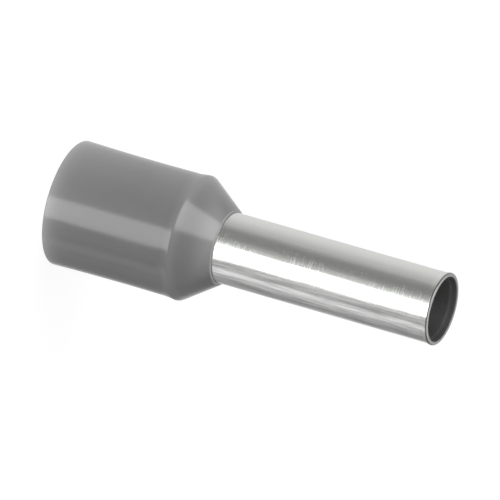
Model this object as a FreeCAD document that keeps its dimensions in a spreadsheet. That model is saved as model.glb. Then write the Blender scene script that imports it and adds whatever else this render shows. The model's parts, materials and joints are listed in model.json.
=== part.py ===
import FreeCAD, Part
import os
import Sketcher

# Insulated wire ferrule for a 4 mm2 stranded conductor, in millimetres.
# It stands on the collar's open rear end, its axis is +Z, and the metal tube points up.
# Both pieces are turned forms, so each one is a half section turned about the axis.

# Driving dimensions. The two bores are diameters, and the walls are added outside them.
SIZES = {
    # the wire's bare strands go into the tube, its insulation into the collar
    "tube_bore": 2.80,
    "tube_wall": 0.20,
    "tube_reach": 10.40,
    "collar_bore": 4.80,
    "collar_wall": 0.42,
    "collar_length": 7.70,
    # the collar's outside: a long shallow waist that narrows a little towards the front, a short
    # flare up to the rounded shoulder, and a cone that ends in a thin nose round the tube
    "waist_depth": 0.03,
    "waist_drop": 0.028,
    "shoulder_rise": 0.03,
    "shoulder_flare": 0.48,
    "cone_angle": 35.2,
    "nose_wall": 0.105,
    # the wall of the cone, measured square to it
    "funnel_wall": 0.50,
    # roundings of the moulding
    "rim_rounding": 0.08,
    "entry_rounding": 0.08,
    "shoulder_rounding": 0.22,
    "nose_rounding": 0.165,
    "funnel_rounding": 0.30,
    # the tube widens a little down the collar's neck, so it can't be drawn out tip first
    "neck_taper": 0.02,
    # the tube's inner end is belled out onto the funnel
    "bell_spread": 0.36,
    "bell_bend": 0.15,
    "bell_edge": 0.05,
    # the tube's tip flares into a small lip, whose outer corner is rounder than its inner one
    "lip_length": 0.34,
    "lip_rise": 0.047,
    "lip_flare": 0.057,
    "lip_rounding": 0.07,
    "lip_edge": 0.05,
    "lip_bend": 0.60,
}

# Values worked out from the driving dimensions, as formulas of the sheet.
FORMULAS = {
    "tube_inner": "tube_bore / 2",
    "tube_outer": "tube_inner + tube_wall",
    "collar_inner": "collar_bore / 2",
    "rim_outer": "collar_inner + collar_wall",
    "shoulder_outer": "rim_outer + shoulder_rise",
    "nose_outer": "tube_outer + nose_wall",
    # outside of the collar, from the nose back to the shoulder
    "shoulder_start": "collar_length - (shoulder_outer - nose_outer) / tan(cone_angle)",
    "flare_start": "shoulder_start - shoulder_flare",
    "flare_outer": "rim_outer - waist_drop",
    "waist_chord": "sqrt(flare_start ^ 2 + waist_drop ^ 2)",
    "waist_radius": "waist_chord ^ 2 / (8 * waist_depth) + waist_depth / 2",
    # inside of the collar: the funnel runs parallel to the cone
    "cone_apex": "collar_length + nose_outer / tan(cone_angle)",
    "funnel_apex": "cone_apex - funnel_wall / sin(cone_angle)",
    "funnel_start": "funnel_apex - collar_inner / tan(cone_angle)",
    "neck_outer": "tube_outer + neck_taper",
    "neck_inner": "tube_inner + neck_taper",
    "neck_start": "funnel_apex - neck_outer / tan(cone_angle)",
    # the bell lies on the funnel, one metal wall thick
    "bell_outer": "tube_outer + bell_spread",
    "bell_height": "funnel_apex - bell_outer / tan(cone_angle)",
    "bell_edge_radius": "bell_outer - tube_wall * cos(cone_angle)",
    "bell_edge_height": "bell_height - tube_wall * sin(cone_angle)",
    "bell_root": "funnel_apex - tube_wall / sin(cone_angle) - neck_inner / tan(cone_angle)",
    "bell_inner_bend": "bell_bend + tube_wall",
    # the tip
    "tip": "collar_length + tube_reach",
    "lip_start": "tip - lip_length",
    "lip_outer": "tube_outer + lip_rise",
    "lip_inner": "tube_inner + lip_flare",
    "lip_inner_bend": "lip_bend + tube_wall",
}


# Lengths closer than this count as equal.
SAME = 1e-6


def fill_sheet(doc):
    """Write the driving dimensions and the formulas into the document's sheet."""
    sheet = doc.addObject("Spreadsheet::Sheet", "sizes")
    row = 1
    for alias, value in SIZES.items():
        sheet.set(f"A{row}", alias)
        sheet.set(f"B{row}", str(value))
        sheet.setAlias(f"B{row}", alias)
        row += 1
    for alias, formula in FORMULAS.items():
        sheet.set(f"A{row}", alias)
        sheet.set(f"B{row}", f"={formula}")
        sheet.setAlias(f"B{row}", alias)
        row += 1
    doc.recompute()
    return sheet


def axial_sketch(body, name):
    """Start a sketch in the plane through the axis: across is the radius, up is the height."""
    sketch = body.newObject("Sketcher::SketchObject", name)
    plane = next(o for o in body.Origin.OriginFeatures if o.Role == "XZ_Plane")
    sketch.AttachmentSupport = (plane, [""])
    sketch.MapMode = "FlatFace"
    return sketch


def bind(sketch, constraint, name, alias):
    """Add a named constraint whose value is a cell of the sheet."""
    index = sketch.addConstraint(constraint)
    sketch.renameConstraint(index, name)
    sketch.setExpression(f"Constraints.{name}", f"sizes.{alias}")


def half_section(body, sheet, name, corners, hollow_side=None):
    """Draw a closed outline through corners, each a radius and a height named in the sheet.

    A corner with no height lies on the plane z = 0. The side that ends at corner number
    hollow_side is the waist's arc, which curves in towards the axis, and the others are straight.
    """
    sketch = axial_sketch(body, name)
    points = [FreeCAD.Vector(sheet.get(r), sheet.get(z) if z else 0.0, 0) for r, z in corners]
    starts, ends = [], []
    for index, there in enumerate(points):
        here = points[index - 1]
        if index == hollow_side:
            middle = (here + there) / 2 - FreeCAD.Vector(sheet.waist_depth, 0, 0)
            side = sketch.addGeometry(Part.Arc(there, middle, here))
            starts.append((side, 2))
            ends.append((side, 1))
        else:
            side = sketch.addGeometry(Part.LineSegment(here, there))
            starts.append((side, 1))
            ends.append((side, 2))
    for index, (radius, height) in enumerate(corners):
        side, end = ends[index]
        following, start = starts[(index + 1) % len(corners)]
        sketch.addConstraint(Sketcher.Constraint("Coincident", side, end, following, start))
        across = Sketcher.Constraint("DistanceX", -1, 1, side, end, points[index].x)
        bind(sketch, across, f"radius_{index}", radius)
        if height:
            up = Sketcher.Constraint("DistanceY", -1, 1, side, end, points[index].y)
            bind(sketch, up, f"height_{index}", height)
        else:
            sketch.addConstraint(Sketcher.Constraint("PointOnObject", side, end, -1))
    if hollow_side is not None:
        arc = Sketcher.Constraint("Radius", ends[hollow_side][0], sheet.waist_radius)
        bind(sketch, arc, "waist", "waist_radius")
    return sketch


def turn(body, sketch, name):
    """Turn a half section once round the axis."""
    turned = body.newObject("PartDesign::Revolution", name)
    turned.Profile = sketch
    turned.ReferenceAxis = (sketch, ["V_Axis"])
    turned.Angle = 360
    sketch.Visibility = False
    body.Document.recompute()
    return turned


def round_edge(body, sheet, base, name, radius, height, rounding):
    """Round the circular edge that lies at a radius and height of the sheet."""
    wanted_radius = sheet.get(radius)
    wanted_height = sheet.get(height) if height else 0.0
    edges = [
        f"Edge{number}"
        for number, edge in enumerate(base.Shape.Edges, start=1)
        if isinstance(edge.Curve, Part.Circle)
        and abs(edge.Curve.Radius - wanted_radius) < SAME
        and abs(edge.Curve.Center.z - wanted_height) < SAME
    ]
    if not edges:
        raise RuntimeError(f"no edge for {name}")
    fillet = body.newObject("PartDesign::Fillet", name)
    fillet.Base = (base, edges)
    fillet.Radius = sheet.get(rounding)
    fillet.setExpression("Radius", f"sizes.{rounding}")
    body.Document.recompute()
    return fillet


def new_body(doc, name):
    """Start a piece, whose name is also its label."""
    body = doc.addObject("PartDesign::Body", name)
    body.Label = name
    doc.recompute()
    return body


def make_collar(doc, sheet):
    """The moulded collar: waisted barrel, flared shoulder, cone and nose, hollow right through."""
    body = new_body(doc, "insulating_collar")
    corners = [
        ("collar_inner", None),
        ("rim_outer", None),
        ("flare_outer", "flare_start"),
        ("shoulder_outer", "shoulder_start"),
        ("nose_outer", "collar_length"),
        ("tube_outer", "collar_length"),
        ("neck_outer", "neck_start"),
        ("collar_inner", "funnel_start"),
    ]
    section = half_section(body, sheet, "collar_section", corners, hollow_side=2)
    form = turn(body, section, "collar_form")
    roundings = [
        ("rim", "rim_outer", None, "rim_rounding"),
        ("entry", "collar_inner", None, "entry_rounding"),
        ("shoulder", "shoulder_outer", "shoulder_start", "shoulder_rounding"),
        ("nose", "nose_outer", "collar_length", "nose_rounding"),
        ("funnel_mouth", "collar_inner", "funnel_start", "funnel_rounding"),
        ("funnel_neck", "neck_outer", "neck_start", "bell_bend"),
    ]
    for name, radius, height, rounding in roundings:
        form = round_edge(body, sheet, form, f"{name}_round", radius, height, rounding)
    return body


def make_tube(doc, sheet):
    """The metal tube: belled inner end on the collar's funnel, straight barrel, flared lip."""
    body = new_body(doc, "crimp_tube")
    corners = [
        ("neck_outer", "neck_start"),
        ("tube_outer", "collar_length"),
        ("tube_outer", "lip_start"),
        ("lip_outer", "tip"),
        ("lip_inner", "tip"),
        ("tube_inner", "lip_start"),
        ("tube_inner", "collar_length"),
        ("neck_inner", "bell_root"),
        ("bell_edge_radius", "bell_edge_height"),
        ("bell_outer", "bell_height"),
    ]
    section = half_section(body, sheet, "tube_section", corners)
    form = turn(body, section, "tube_form")
    roundings = [
        ("bell_outside", "neck_outer", "neck_start", "bell_bend"),
        ("bell_inside", "neck_inner", "bell_root", "bell_inner_bend"),
        ("bell_rim_inside", "bell_edge_radius", "bell_edge_height", "bell_edge"),
        ("bell_rim_outside", "bell_outer", "bell_height", "bell_edge"),
        ("lip_root", "tube_outer", "lip_start", "lip_bend"),
        ("lip_throat", "tube_inner", "lip_start", "lip_inner_bend"),
        ("lip_outside", "lip_outer", "tip", "lip_rounding"),
        ("lip_inside", "lip_inner", "tip", "lip_edge"),
    ]
    for name, radius, height, rounding in roundings:
        form = round_edge(body, sheet, form, f"{name}_round", radius, height, rounding)
    return body


def check(doc, pieces):
    """Stop if any object failed or a piece has no sound solid."""
    for item in doc.Objects:
        if "Invalid" in item.State or "Error" in item.State:
            raise RuntimeError(f"{item.Name} is {item.State}")
    for piece in pieces:
        if piece.Shape.isNull() or not piece.Shape.isValid():
            raise RuntimeError(f"{piece.Label} has no valid shape")
        if len(piece.Shape.Solids) != 1:
            raise RuntimeError(f"{piece.Label} is not one solid")


doc = FreeCAD.newDocument("wire_ferrule")
sheet = fill_sheet(doc)
pieces = [make_collar(doc, sheet), make_tube(doc, sheet)]
doc.recompute()
check(doc, pieces)

os.makedirs("parts", exist_ok=True)
for piece in pieces:
    piece.Shape.exportStep(f"parts/{piece.Label}.step")
    box = piece.Shape.optimalBoundingBox(False)
    print(f"{piece.Label}: volume {piece.Shape.Volume:.3f} mm3, z {box.ZMin:.3f} to {box.ZMax:.3f}")
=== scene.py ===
import json
import math
from collections import namedtuple

import bmesh
import bpy
from mathutils import Matrix, Vector, noise


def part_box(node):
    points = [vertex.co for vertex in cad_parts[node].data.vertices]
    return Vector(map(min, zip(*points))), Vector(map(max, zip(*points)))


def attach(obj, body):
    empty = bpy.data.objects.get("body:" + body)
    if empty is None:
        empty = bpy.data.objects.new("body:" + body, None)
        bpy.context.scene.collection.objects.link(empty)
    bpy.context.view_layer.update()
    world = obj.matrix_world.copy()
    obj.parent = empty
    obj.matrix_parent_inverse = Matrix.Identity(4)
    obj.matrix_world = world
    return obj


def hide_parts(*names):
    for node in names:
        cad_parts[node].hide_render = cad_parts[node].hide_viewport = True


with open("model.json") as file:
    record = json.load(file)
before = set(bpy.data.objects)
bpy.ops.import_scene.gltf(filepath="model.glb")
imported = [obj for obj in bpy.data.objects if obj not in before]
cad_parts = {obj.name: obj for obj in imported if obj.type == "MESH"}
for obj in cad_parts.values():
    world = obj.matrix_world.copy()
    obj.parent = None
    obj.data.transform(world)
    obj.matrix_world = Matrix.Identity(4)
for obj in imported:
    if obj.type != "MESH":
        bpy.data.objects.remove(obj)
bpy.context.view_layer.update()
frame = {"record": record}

# The wire ferrule stands on its collar's open end, with its axis along +Z.
# Lengths in this script are millimetres, and MM turns them into Blender's metres.
MM = 0.001


# Sizes that the frame gives

def mount_radius(name):
    """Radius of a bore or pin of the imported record, in millimetres."""
    found = next(m for m in frame["record"]["mounts"] if m["name"] == name)
    return found["dims"]["r_mm"]


COLLAR_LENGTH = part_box("insulating_collar")[1].z / MM
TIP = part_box("crimp_tube")[1].z / MM
TUBE_INNER = mount_radius("conductor_bore")
TUBE_OUTER = mount_radius("terminal_pin")
COLLAR_INNER = mount_radius("insulation_bore")

# The collar's own sizes
COLLAR_WALL = 0.42
WAIST_DEPTH = 0.03
WAIST_DROP = 0.028
SHOULDER_RISE = 0.03
SHOULDER_FLARE = 0.48
CONE_ANGLE = math.radians(35.2)
NOSE_WALL = 0.105
FUNNEL_WALL = 0.50
RIM_ROUNDING = 0.08
ENTRY_ROUNDING = 0.08
FLARE_BEND = 1.5
SHOULDER_ROUNDING = 0.22
NOSE_ROUNDING = 0.165
MOUTH_ROUNDING = 0.015
FUNNEL_ROUNDING = 0.30

# The tube's own sizes
NECK_TAPER = 0.02
BELL_SPREAD = 0.36
BELL_BEND = 0.15
BELL_EDGE = 0.05
LIP_LENGTH = 0.34
LIP_RISE = 0.047
LIP_FLARE = 0.057
LIP_ROUNDING = 0.07
LIP_EDGE = 0.05
LIP_BEND = 0.60

# Sizes worked out from those above, as the solids have them
TUBE_WALL = TUBE_OUTER - TUBE_INNER
RIM_OUTER = COLLAR_INNER + COLLAR_WALL
SHOULDER_OUTER = RIM_OUTER + SHOULDER_RISE
NOSE_OUTER = TUBE_OUTER + NOSE_WALL
SHOULDER_START = COLLAR_LENGTH - (SHOULDER_OUTER - NOSE_OUTER) / math.tan(CONE_ANGLE)
FLARE_START = SHOULDER_START - SHOULDER_FLARE
FLARE_OUTER = RIM_OUTER - WAIST_DROP
CONE_APEX = COLLAR_LENGTH + NOSE_OUTER / math.tan(CONE_ANGLE)
FUNNEL_APEX = CONE_APEX - FUNNEL_WALL / math.sin(CONE_ANGLE)


def funnel_height(radius, apex=FUNNEL_APEX):
    """Height at which the funnel, or a cone parallel to it, has a radius."""
    return apex - radius / math.tan(CONE_ANGLE)


# Meshes

# Faces round the axis, the longest face along an outline, and the steps of an arc and of the waist
TURNS = 256
STEP = 0.14
ARC_STEPS = 10
WAIST_STEPS = 24


def round_corner(before, corner, after, rounding):
    """Points of the arc that rounds a corner of an outline."""
    back = (before - corner).normalized()
    on = (after - corner).normalized()
    half = back.angle(on) / 2
    centre = corner + (back + on).normalized() * (rounding / math.sin(half))
    first = (corner + back * (rounding / math.tan(half)) - centre).normalized()
    last = (corner + on * (rounding / math.tan(half)) - centre).normalized()
    return [centre + first.slerp(last, i / ARC_STEPS) * rounding for i in range(ARC_STEPS + 1)]


def outline(corners):
    """Closed outline through corners, each a radius, a height and a rounding."""
    sharp = [Vector((radius, 0, height)) for radius, height, rounding in corners]
    bare = []
    for index, (radius, height, rounding) in enumerate(corners):
        corner = sharp[index]
        if rounding:
            after = sharp[(index + 1) % len(sharp)]
            bare += round_corner(sharp[index - 1], corner, after, rounding)
        else:
            bare.append(corner)
    filled = []
    for index, here in enumerate(bare):
        there = bare[(index + 1) % len(bare)]
        pieces = max(1, math.ceil((there - here).length / STEP))
        filled += [here.lerp(there, i / pieces) for i in range(pieces)]
    return filled


def waist():
    """The barrel's shallow hollow, from the rim to the shoulder's flare, as corners with no rounding."""
    points = []
    for i in range(1, WAIST_STEPS):
        share = i / WAIST_STEPS
        hollow = 4 * WAIST_DEPTH * share * (1 - share)
        points.append((RIM_OUTER - WAIST_DROP * share - hollow, FLARE_START * share, 0))
    return points


def turned(name, corners, waver):
    """A piece turned about the axis. waver moves a point of the surface by a hair."""
    section = outline(corners)
    mesh = bpy.data.meshes.new(name)
    form = bmesh.new()
    rings = []
    for point in section:
        ring = []
        for turn in range(TURNS):
            angle = 2 * math.pi * turn / TURNS
            around = Vector((math.cos(angle), math.sin(angle), 0))
            place = around * point.x + Vector((0, 0, point.z))
            ring.append(form.verts.new((place - around * waver(place, point.x)) * MM))
        rings.append(ring)
    for index, ring in enumerate(rings):
        other = rings[(index + 1) % len(rings)]
        for turn in range(TURNS):
            following = (turn + 1) % TURNS
            form.faces.new((ring[turn], ring[following], other[following], other[turn]))
    bmesh.ops.recalc_face_normals(form, faces=form.faces)
    form.to_mesh(mesh)
    form.free()
    mesh.shade_smooth()
    piece = bpy.data.objects.new(name, mesh)
    bpy.context.scene.collection.objects.link(piece)
    return piece


def smooth_step(low, high, value):
    """0 below low, 1 above high and a soft rise between."""
    share = min(1, max(0, (value - low) / (high - low)))
    return share * share * (3 - 2 * share)


# The drawn tube and the moulded barrel are a few thousandths out of true, which bends reflections.
# The waver is a noise with lumps of a size, and fades out towards the ends over a length.
TUBE_WAVER = 0.006
TUBE_WAVE_ROUND = 0.9
TUBE_WAVE_ALONG = 2.2
TUBE_WAVE_SEED = 3.0
TUBE_FADE = 0.6
COLLAR_WAVER = 0.004
COLLAR_WAVE = 1.6
COLLAR_WAVE_SEED = 7.0
COLLAR_FADE = 1.0

# The shoulder keeps this far inside its true radius, so that it never stands out of the solid's box.
# The step back sets in over a length below the flare, and ends on the cone, before the nose.
SET_BACK = 0.006
SET_BACK_FADE = 0.5
SET_BACK_END = 0.2
NOSE_LENGTH = 0.3


def uneven(place, across, along, seed):
    """Smooth noise from 0 to 1, whose lumps have a size across and along the axis."""
    spot = Vector((place.x / across + seed, place.y / across, place.z / along))
    return 0.5 + 0.5 * noise.noise(spot)


def tube_waver(place, radius):
    """How far the tube's outside lies inside its true cylinder."""
    if radius < TUBE_OUTER - TUBE_WALL / 2 or place.z < COLLAR_LENGTH:
        return 0.0
    free = smooth_step(COLLAR_LENGTH, COLLAR_LENGTH + TUBE_FADE, place.z)
    free *= 1 - smooth_step(TIP - 2 * LIP_LENGTH, TIP - LIP_LENGTH, place.z)
    return TUBE_WAVER * free * uneven(place, TUBE_WAVE_ROUND, TUBE_WAVE_ALONG, TUBE_WAVE_SEED)


def collar_waver(place, radius):
    """How far the collar's outside lies inside its true form."""
    if radius < NOSE_OUTER:
        return 0.0
    free = smooth_step(0, COLLAR_FADE, place.z)
    free *= 1 - smooth_step(SHOULDER_START - COLLAR_FADE, SHOULDER_START, place.z)
    waver = COLLAR_WAVER * uneven(place, COLLAR_WAVE, COLLAR_WAVE, COLLAR_WAVE_SEED)
    widest = smooth_step(FLARE_START - SET_BACK_FADE, FLARE_START, place.z)
    widest *= 1 - smooth_step(SHOULDER_START + SET_BACK_END, COLLAR_LENGTH - NOSE_LENGTH, place.z)
    return SET_BACK * widest + waver * free


def make_collar():
    """The moulded collar: waisted barrel, shoulder, cone and nose, hollow right through."""
    neck_outer = TUBE_OUTER + NECK_TAPER
    corners = [
        (COLLAR_INNER, 0, ENTRY_ROUNDING),
        (RIM_OUTER, 0, RIM_ROUNDING),
        *waist(),
        (FLARE_OUTER, FLARE_START, FLARE_BEND),
        (SHOULDER_OUTER, SHOULDER_START, SHOULDER_ROUNDING),
        (NOSE_OUTER, COLLAR_LENGTH, NOSE_ROUNDING),
        (TUBE_OUTER, COLLAR_LENGTH, MOUTH_ROUNDING),
        (neck_outer, funnel_height(neck_outer), BELL_BEND),
        (COLLAR_INNER, funnel_height(COLLAR_INNER), FUNNEL_ROUNDING),
    ]
    return turned("collar_moulding", corners, collar_waver)


def make_tube():
    """The metal tube: belled inner end on the collar's funnel, straight barrel, flared lip."""
    neck_outer = TUBE_OUTER + NECK_TAPER
    neck_inner = TUBE_INNER + NECK_TAPER
    inner_apex = FUNNEL_APEX - TUBE_WALL / math.sin(CONE_ANGLE)
    bell_outer = TUBE_OUTER + BELL_SPREAD
    edge_radius = bell_outer - TUBE_WALL * math.cos(CONE_ANGLE)
    edge_height = funnel_height(bell_outer) - TUBE_WALL * math.sin(CONE_ANGLE)
    lip_outer = TUBE_OUTER + LIP_RISE
    lip_inner = TUBE_INNER + LIP_FLARE
    corners = [
        (neck_outer, funnel_height(neck_outer), BELL_BEND),
        (TUBE_OUTER, COLLAR_LENGTH, 0),
        (TUBE_OUTER, TIP - LIP_LENGTH, LIP_BEND),
        (lip_outer, TIP, LIP_ROUNDING),
        (lip_inner, TIP, LIP_EDGE),
        (TUBE_INNER, TIP - LIP_LENGTH, LIP_BEND + TUBE_WALL),
        (TUBE_INNER, COLLAR_LENGTH, 0),
        (neck_inner, funnel_height(neck_inner, inner_apex), BELL_BEND + TUBE_WALL),
        (edge_radius, edge_height, BELL_EDGE),
        (bell_outer, funnel_height(bell_outer), BELL_EDGE),
    ]
    return turned("plated_tube", corners, tube_waver)


# Materials and light are node trees

# A noise: the size of its lumps across the piece's axis and along it, its finer detail, and its place
Spots = namedtuple("Spots", "across along detail seed")


def grey(level):
    """Neutral colour of a level."""
    return (level, level, level)


class Graph:
    """A node tree, emptied, with short ways to add to it."""

    def __init__(self, tree):
        self.tree = tree
        tree.nodes.clear()

    def add(self, kind, values=(), **settings):
        """A node with its settings, and a value or another node's output on each named input."""
        node = self.tree.nodes.new(kind)
        for name, setting in settings.items():
            setattr(node, name, setting)
        for name, value in dict(values).items():
            if isinstance(value, bpy.types.NodeSocket):
                self.tree.links.new(value, node.inputs[name])
            else:
                node.inputs[name].default_value = value
        return node

    def join(self, output, node, name):
        """Link an output to a node's named input."""
        self.tree.links.new(output, node.inputs[name])

    def maths(self, operation, *values):
        """Output of one sum."""
        node = self.add("ShaderNodeMath", dict(enumerate(values)), operation=operation)
        return node.outputs[0]

    def product(self, value, *others):
        """Output of a product of two or more."""
        for other in others:
            value = self.maths("MULTIPLY", value, other)
        return value

    def ramp(self, value, start, end, low=0.0, high=1.0):
        """low where value is at start, high where it is at end, with a soft rise between."""
        values = {"Value": value, "From Min": start, "From Max": end, "To Min": low, "To Max": high}
        node = self.add("ShaderNodeMapRange", values, interpolation_type="SMOOTHSTEP")
        return node.outputs["Result"]

    def vector(self, operation, *values, output=0):
        """Output of one sum of vectors."""
        node = self.add("ShaderNodeVectorMath", dict(enumerate(values)), operation=operation)
        return node.outputs[output]

    def here(self):
        """Place in the piece's own frame, in metres."""
        return self.add("ShaderNodeTexCoord").outputs["Object"]

    def spots(self, look):
        """Noise from 0 to 1 in the piece's own frame."""
        across = 1 / (look.across * MM)
        along = 1 / (look.along * MM)
        sized = self.vector("MULTIPLY", self.here(), (across, across, along))
        moved = self.vector("ADD", sized, (look.seed, 0, 0))
        values = {"Vector": moved, "Scale": 1.0, "Detail": look.detail}
        return self.add("ShaderNodeTexNoise", values).outputs[0]

    def place(self, axis):
        """Coordinate of the piece's own frame along one of its axes, in millimetres."""
        parts = self.add("ShaderNodeSeparateXYZ", {0: self.here()}).outputs
        return self.maths("DIVIDE", parts[axis], MM)

    def distance(self):
        """Distance from the piece's axis, in millimetres."""
        flat = self.vector("MULTIPLY", self.here(), (1, 1, 0))
        return self.maths("DIVIDE", self.vector("LENGTH", flat, output="Value"), MM)

    def blend(self, share, low, high):
        """Colour between two colours, or between the outputs of two nodes."""
        node = self.add("ShaderNodeMix", data_type="RGBA")
        colours = [socket for socket in node.inputs if socket.type == "RGBA"]
        self.tree.links.new(share, node.inputs[0])
        for socket, colour in zip(colours, (low, high)):
            if isinstance(colour, bpy.types.NodeSocket):
                self.tree.links.new(colour, socket)
            else:
                socket.default_value = (*colour, 1)
        return next(socket for socket in node.outputs if socket.type == "RGBA")

    def relief(self, height, depth, normal=None):
        """Normal of a surface with a relief of some depth, in millimetres, on top of another normal."""
        node = self.add("ShaderNodeBump", {"Height": height, "Strength": 1.0, "Distance": depth * MM})
        if normal is not None:
            self.join(normal, node, "Normal")
        return node.outputs["Normal"]


# The moulding's colours, with light and shade painted into them. Painted light makes its open end a
# little paler, a painted highlight lies on its shoulder, and painted shade makes its cone darker. Light
# from the bright tube is painted on the +X side of the cone's foot, and the tube's shade on the rest of
# it.
BARREL_DARK = grey(0.223)
BARREL_LIGHT = (0.247, 0.247, 0.248)
OPEN_END_PAINTED_LIGHT = grey(0.260)
CONE_SHADE_GREY = grey(0.219)
SHOULDER_HIGHLIGHT_GREY = grey(0.268)
SHADED_GREY = grey(0.195)
LIT_GREY = grey(0.32)

# Where those colours lie: heights, lengths from the shoulder and from the collar's end, and ranges of X
OPEN_END_LIGHT_START = 0.6
OPEN_END_LIGHT_END = 3.9
CONE_SHADE_FADE = 0.4
HIGHLIGHT_BEFORE = 0.48
HIGHLIGHT_AFTER = 0.42
SHADED_LENGTH = 1.25
SHADED_SIDE = (1.4, 0.9)
LIT_LENGTH = 1.05
LIT_SIDE = (0.9, 1.9)
FOOT_END = 0.1

# A glow as of light coming through the wall is painted on the open rim, most of all on the side away
# from the lamp.
GLOW_GREY = grey(0.54)
GLOW_DEPTH = 0.33
GLOW_SIDE = 2.8
GLOW_NEAR_LAMP = 0.6
GLOW_AWAY = 1.55

# The moulding's grain, and its roughness from its darkest spots to its lightest
MOTTLE = Spots(0.7, 1.1, 3.0, 0.0)
GRAIN = Spots(0.05, 0.05, 2.0, 11.0)
GRAIN_DEPTH = 0.0004
FLOW = Spots(0.5, 2.4, 2.0, 23.0)
FLOW_DEPTH = 0.004
MOTTLE_SPAN = (0.2, 0.8)
SATIN = (0.15, 0.19)
PLASTIC_IOR = 1.58


def moulding_colour_and_painted_light(g, mottle):
    """Colour of the moulding, with painted light and shade, by height and side."""
    height = g.place("Z")
    side = g.place("X")
    colour = g.blend(mottle, BARREL_DARK, BARREL_LIGHT)
    # Painted light: the open end a little paler.
    colour = g.blend(g.ramp(height, OPEN_END_LIGHT_END, OPEN_END_LIGHT_START), colour, OPEN_END_PAINTED_LIGHT)
    # Painted shade: the cone darker.
    cone = g.ramp(height, SHOULDER_START, SHOULDER_START + CONE_SHADE_FADE)
    colour = g.blend(cone, colour, CONE_SHADE_GREY)
    # A painted highlight along the shoulder.
    before = g.ramp(height, SHOULDER_START - HIGHLIGHT_BEFORE, SHOULDER_START)
    after = g.ramp(height, SHOULDER_START + HIGHLIGHT_AFTER, SHOULDER_START)
    colour = g.blend(g.product(before, after), colour, SHOULDER_HIGHLIGHT_GREY)
    # Painted shade on the cone's foot, away from the +X side.
    foot = g.ramp(height, COLLAR_LENGTH - SHADED_LENGTH, COLLAR_LENGTH - FOOT_END)
    colour = g.blend(g.product(foot, g.ramp(side, *SHADED_SIDE)), colour, SHADED_GREY)
    # Painted light from the bright tube on the +X side of the cone's foot.
    foot = g.ramp(height, COLLAR_LENGTH - LIT_LENGTH, COLLAR_LENGTH - FOOT_END)
    colour = g.blend(g.product(foot, g.ramp(side, *LIT_SIDE)), colour, LIT_GREY)
    # A painted glow at the open rim, strongest away from the lamp.
    glow = g.maths("EXPONENT", g.maths("DIVIDE", height, -GLOW_DEPTH))
    away = g.ramp(g.place("Y"), -GLOW_SIDE, GLOW_SIDE, GLOW_NEAR_LAMP, GLOW_AWAY)
    return g.blend(g.product(glow, away), colour, GLOW_GREY)


def plastic():
    """Moulded grey plastic: slight mottling, a fine satin grain and long shallow flow waves."""
    material = bpy.data.materials.new("grey_moulding")
    material.use_nodes = True
    g = Graph(material.node_tree)
    mottle = g.spots(MOTTLE)
    shader = g.add("ShaderNodeBsdfPrincipled", {"Metallic": 0.0, "IOR": PLASTIC_IOR})
    g.join(moulding_colour_and_painted_light(g, mottle), shader, "Base Color")
    g.join(g.ramp(mottle, *MOTTLE_SPAN, *SATIN), shader, "Roughness")
    flow = g.relief(g.spots(FLOW), FLOW_DEPTH)
    g.join(g.relief(g.spots(GRAIN), GRAIN_DEPTH, flow), shader, "Normal")
    g.add("ShaderNodeOutputMaterial", {"Surface": shader.outputs[0]})
    return material


# The plating's marks: fine drawn lines, short strokes across the tube, streaks along it, and patches
LINES = Spots(0.11, 3.5, 2.0, 5.0)
STROKES = Spots(0.55, 0.062, 0.3, 17.0)
STREAKS = Spots(0.13, 1.6, 2.0, 64.0)
PATCHES = Spots(0.6, 0.9, 1.0, 37.0)

# The strokes show in worn patches, along a stretch of Y that starts and ends softly. The +Y side is
# streaked.
STROKE_EDGE = (0.52, 0.66)
PATCH_EDGE = (0.32, 0.56)
WORN_START = (-0.9, -0.3)
WORN_END = (0.75, 0.4)
STREAKED_SIDE = (0.2, 0.9)
STREAK_CONTRAST = 1.15

# The plating is a little warm, and neutral where it is streaked. The tube's bore is dull, and painted
# darker with shade as far as the lip's inner edge, most of all in its flare, and its cut end is dull.
PLATING_WARM = (0.79, 0.80, 0.765)
PLATING_PALE = (0.81, 0.82, 0.79)
PLATING_NEUTRAL = (0.805, 0.803, 0.80)
CUT_COLOUR = (0.205, 0.205, 0.20)
BORE_SHADE_GREY = grey(0.275)
FLARE_SHADE_GREY = grey(0.155)
BORE_EDGE = TUBE_INNER + 0.11
BORE_EDGE_FADE = 0.02
CUT_LENGTH = 0.11

# Roughness of the drawn lines' troughs and ridges, and what strokes and the bore add to it
LINE_SPAN = (0.3, 0.7)
POLISH = (0.19, 0.235)
STROKE_ROUGHNESS = 0.10
BORE_ROUGHNESS = 0.35

# Depth of the lines in the surface, and that of strokes and streaks as shares of it
LINE_DEPTH = 0.003
STROKE_DEPTH = 0.3
STREAK_DEPTH = 2.2


def plating_colour_and_bore_shade(g, patches, streaks, streaked, inside):
    """Colour of the plating outside and at the cut end, and painted shade in the bore."""
    height = g.place("Z")
    warm = g.blend(patches, PLATING_WARM, PLATING_PALE)
    plated = g.blend(streaked, warm, PLATING_NEUTRAL)
    change = g.product(g.maths("SUBTRACT", streaks, 0.5), streaked, STREAK_CONTRAST)
    bright = g.vector("MULTIPLY", plated, g.maths("ADD", change, 1.0))
    cut = g.ramp(height, TIP - CUT_LENGTH, TIP - CUT_LENGTH / 2)
    flare = g.ramp(height, TIP - LIP_LENGTH, TIP - LIP_LENGTH / 2)
    # Painted shade in the bore, darkest in its flare.
    return g.blend(inside, g.blend(cut, bright, CUT_COLOUR), g.blend(flare, BORE_SHADE_GREY, FLARE_SHADE_GREY))


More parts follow.
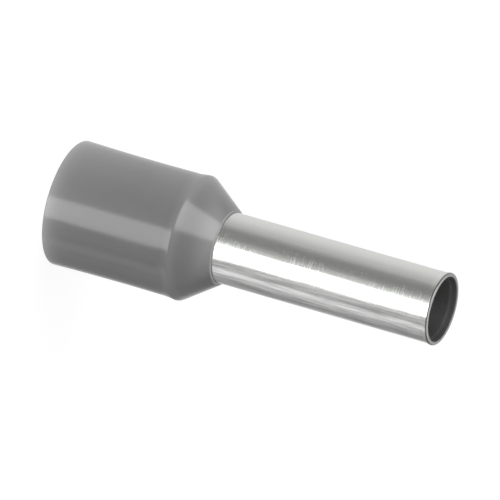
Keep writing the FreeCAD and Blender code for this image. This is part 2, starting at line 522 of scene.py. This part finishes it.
def tin():
    """Bright tin plating: drawn lines along the tube, short scratches across it, dull bore and end, and
    painted shade in the bore.
    """
    material = bpy.data.materials.new("tin_plating")
    material.use_nodes = True
    g = Graph(material.node_tree)
    lines = g.spots(LINES)
    strokes = g.spots(STROKES)
    streaks = g.spots(STREAKS)
    patches = g.spots(PATCHES)
    side = g.place("Y")
    streaked = g.ramp(side, *STREAKED_SIDE)
    inside = g.ramp(g.distance(), BORE_EDGE, BORE_EDGE - BORE_EDGE_FADE)
    worn = g.product(g.ramp(side, *WORN_START), g.ramp(side, *WORN_END), g.ramp(patches, *PATCH_EDGE))
    scratched = g.product(g.ramp(strokes, *STROKE_EDGE), worn)
    shader = g.add("ShaderNodeBsdfPrincipled", {"Metallic": 1.0})
    g.join(plating_colour_and_bore_shade(g, patches, streaks, streaked, inside), shader, "Base Color")
    rough = g.ramp(lines, *LINE_SPAN, *POLISH)
    rough = g.maths("ADD", rough, g.product(scratched, STROKE_ROUGHNESS))
    rough = g.maths("ADD", rough, g.product(inside, BORE_ROUGHNESS))
    g.join(rough, shader, "Roughness")
    marks = g.maths("ADD", lines, g.product(strokes, STROKE_DEPTH))
    marks = g.maths("ADD", marks, g.product(streaks, streaked, STREAK_DEPTH))
    g.join(g.relief(marks, LINE_DEPTH), shader, "Normal")
    g.add("ShaderNodeOutputMaterial", {"Surface": shader.outputs[0]})
    return material


# Camera: it looks down on the standing ferrule from +X, and is rolled, so that the tube points right.
# It sees the view's width at the object, and the two shifts put the object in its place in the picture.
ELEVATION = math.radians(21.03)
ROLL = math.radians(16.014)
DISTANCE = 600
VIEW_WIDTH = 21.81
AIM_HEIGHT = 9.0
SHIFT_UP_AXIS = 0.257
SHIFT_ACROSS = 0.170
SENSOR = 36.0
NEAREST = 10
FARTHEST = 10000


def make_camera():
    """The camera, placed by its three directions: right in the picture, up in it, and back out of it."""
    back = Vector((math.cos(ELEVATION), 0, math.sin(ELEVATION)))
    along = Vector((-math.sin(ELEVATION), 0, math.cos(ELEVATION)))
    across = Vector((0, 1, 0))
    right = math.cos(ROLL) * along - math.sin(ROLL) * across
    up = -(math.sin(ROLL) * along + math.cos(ROLL) * across)
    place = Vector((0, 0, AIM_HEIGHT)) + DISTANCE * back - SHIFT_UP_AXIS * along - SHIFT_ACROSS * across
    camera = bpy.data.objects.new("camera", bpy.data.cameras.new("camera"))
    camera.data.sensor_width = SENSOR
    camera.data.lens = SENSOR * DISTANCE / VIEW_WIDTH
    camera.data.clip_start = NEAREST * MM
    camera.data.clip_end = FARTHEST * MM
    axes = Matrix((right, up, back)).transposed().to_4x4()
    camera.matrix_world = Matrix.Translation(place * MM) @ axes
    bpy.context.scene.collection.objects.link(camera)
    bpy.context.scene.camera = camera


# What shiny surfaces see of the studio: softboxes, a strip light, walls and dark flags, in a room.
# turn is the middle's angle about +Z from the camera's side towards -Y, half the half width, low and
# high the elevations it spans, edge the softness of its border, all in degrees, and level its light.
# A panel covers those above it in the list.
Panel = namedtuple("Panel", "turn half low high edge level")
ROOM = 0.51
PANELS = {
    "back_wall": Panel(155, 53, -85, 60, 30, 0.78),
    "backdrop": Panel(180, 40, 12, 60, 8, 1.05),
    "low_flag": Panel(-133.5, 8, -60, 25, 22, 0.31),
    "strip_light": Panel(-82, 8.5, -60, 10, 5, 0.84),
    "side_flag": Panel(-69, 2, -60, 10, 6, 0.42),
    "high_flag": Panel(44, 15.5, -60, 15, 16, 0.255),
    "front_shade": Panel(-15, 25, 5, 32, 4, 0.12),
    "side_softbox": Panel(-17.3, 19.2, -60, 5, 3, 3.45),
    "top_softbox": Panel(39, 32, 32, 60, 5, 3.55),
}

# A softbox overhead, a little behind the object. It spans a cone of angles about its middle.
OVERHEAD = 2.5
OVERHEAD_RISE = math.radians(70)
OVERHEAD_MIDDLE = (-math.cos(OVERHEAD_RISE), 0, math.sin(OVERHEAD_RISE))
OVERHEAD_FULL = math.radians(36)
OVERHEAD_END = math.radians(44)


def height_at(angle):
    """Height of a direction at an elevation in degrees, as a share of its length."""
    return math.sin(math.radians(angle))


def studio_level(g):
    """Brightness of the studio in the direction that a ray goes."""
    direction = g.add("ShaderNodeTexCoord").outputs["Generated"]
    height = g.add("ShaderNodeSeparateXYZ", {0: direction}).outputs["Z"]
    heading = g.vector("NORMALIZE", g.vector("MULTIPLY", direction, (1, 1, 0)))
    level = ROOM
    for panel in PANELS.values():
        turn = math.radians(panel.turn)
        middle = (math.cos(turn), -math.sin(turn), 0)
        near = g.vector("DOT_PRODUCT", heading, middle, output="Value")
        outside = math.cos(math.radians(panel.half + panel.edge))
        inside = math.cos(math.radians(max(0, panel.half - panel.edge)))
        wide = g.ramp(near, outside, inside)
        above = g.ramp(height, height_at(panel.low - panel.edge), height_at(panel.low + panel.edge))
        below = g.ramp(height, height_at(panel.high + panel.edge), height_at(panel.high - panel.edge))
        step = g.product(wide, above, below, g.maths("SUBTRACT", panel.level, level))
        level = g.maths("ADD", level, step)
    near = g.vector("DOT_PRODUCT", direction, OVERHEAD_MIDDLE, output="Value")
    share = g.ramp(near, math.cos(OVERHEAD_END), math.cos(OVERHEAD_FULL))
    step = g.product(share, g.maths("SUBTRACT", OVERHEAD, level))
    return g.maths("ADD", level, step)


# What matt surfaces see is soft light all round, a little stronger from where the tilt points.
DIFFUSE_LEVEL = 0.80
DIFFUSE_TILT = (0.12, -0.32, -0.34)

# Brightness of the background that the camera sees
BACKGROUND = 1.0


def make_world():
    """A white background, soft light for what is matt, and the studio for what is shiny."""
    world = bpy.data.worlds.new("studio")
    world.use_nodes = True
    world.cycles.sampling_method = "NONE"
    bpy.context.scene.world = world
    g = Graph(world.node_tree)
    rays = g.add("ShaderNodeLightPath").outputs
    shiny = g.maths("MAXIMUM", rays["Is Glossy Ray"], rays["Is Transmission Ray"])
    direction = g.add("ShaderNodeTexCoord").outputs["Generated"]
    tilt = g.vector("DOT_PRODUCT", direction, DIFFUSE_TILT, output="Value")
    soft = g.maths("ADD", tilt, DIFFUSE_LEVEL)
    seen = g.maths("ADD", soft, g.product(shiny, g.maths("SUBTRACT", studio_level(g), soft)))
    step = g.product(rays["Is Camera Ray"], g.maths("SUBTRACT", BACKGROUND, seen))
    strength = g.maths("ADD", seen, step)
    light = g.add("ShaderNodeBackground", {"Color": (1, 1, 1, 1), "Strength": strength})
    g.add("ShaderNodeOutputWorld", {"Surface": light.outputs[0]})


# The lamp's direction from the object's middle, its distance and its size, and its power in watts
LAMP_DIRECTION = Vector((0.45, -0.70, 0.55))
LAMP_DISTANCE = 150
LAMP_SIZE = 110
LAMP_POWER = 0.055


def make_lamp():
    """One large soft lamp, up and to the side that is the picture's top."""
    light = bpy.data.lights.new("key_lamp", "AREA")
    light.shape = "SQUARE"
    light.size = LAMP_SIZE * MM
    light.energy = LAMP_POWER
    lamp = bpy.data.objects.new("key_lamp", light)
    place = Vector((0, 0, AIM_HEIGHT)) + LAMP_DIRECTION.normalized() * LAMP_DISTANCE
    turn = LAMP_DIRECTION.to_track_quat("Z", "Y").to_matrix().to_4x4()
    lamp.matrix_world = Matrix.Translation(place * MM) @ turn
    lamp.visible_glossy = False
    bpy.context.scene.collection.objects.link(lamp)


# The floor lies a hair lower than the rim. The camera sees it in a darker paint with a glow of its own,
# so that it shows white with a faint shadow.
FLOOR_SIZE = 2000
FLOOR_DROP = 0.01
FLOOR_GREY = grey(0.85)
FLOOR_SEEN_GREY = grey(0.25)
FLOOR_GLOW = 0.86


def make_floor():
    """A plain pale floor that shows white, with the object's soft shadow."""
    bpy.ops.mesh.primitive_plane_add(size=FLOOR_SIZE * MM, location=(0, 0, -FLOOR_DROP * MM))
    floor = bpy.context.object
    floor.name = "floor"
    floor.visible_glossy = False
    material = bpy.data.materials.new("floor")
    material.use_nodes = True
    g = Graph(material.node_tree)
    camera = g.add("ShaderNodeLightPath").outputs["Is Camera Ray"]
    paint = g.add("ShaderNodeBsdfDiffuse", {"Color": (*FLOOR_GREY, 1)})
    shown = g.add("ShaderNodeBsdfDiffuse", {"Color": (*FLOOR_SEEN_GREY, 1)})
    glow = g.add("ShaderNodeEmission", {"Color": (1, 1, 1, 1), "Strength": FLOOR_GLOW})
    white = g.add("ShaderNodeAddShader", {0: shown.outputs[0], 1: glow.outputs[0]})
    both = g.add("ShaderNodeMixShader", {0: camera, 1: paint.outputs[0], 2: white.outputs[0]})
    g.add("ShaderNodeOutputMaterial", {"Surface": both.outputs[0]})
    floor.data.materials.append(material)


def stand_for(piece, node, material):
    """Give a piece its finish, and let it stand for a node of the frame."""
    piece.data.materials.append(material)
    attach(piece, "root")
    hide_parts(node)


make_camera()
stand_for(make_collar(), "insulating_collar", plastic())
stand_for(make_tube(), "crimp_tube", tin())
make_world()
make_lamp()
make_floor()
bpy.context.scene.view_settings.view_transform = "Standard"
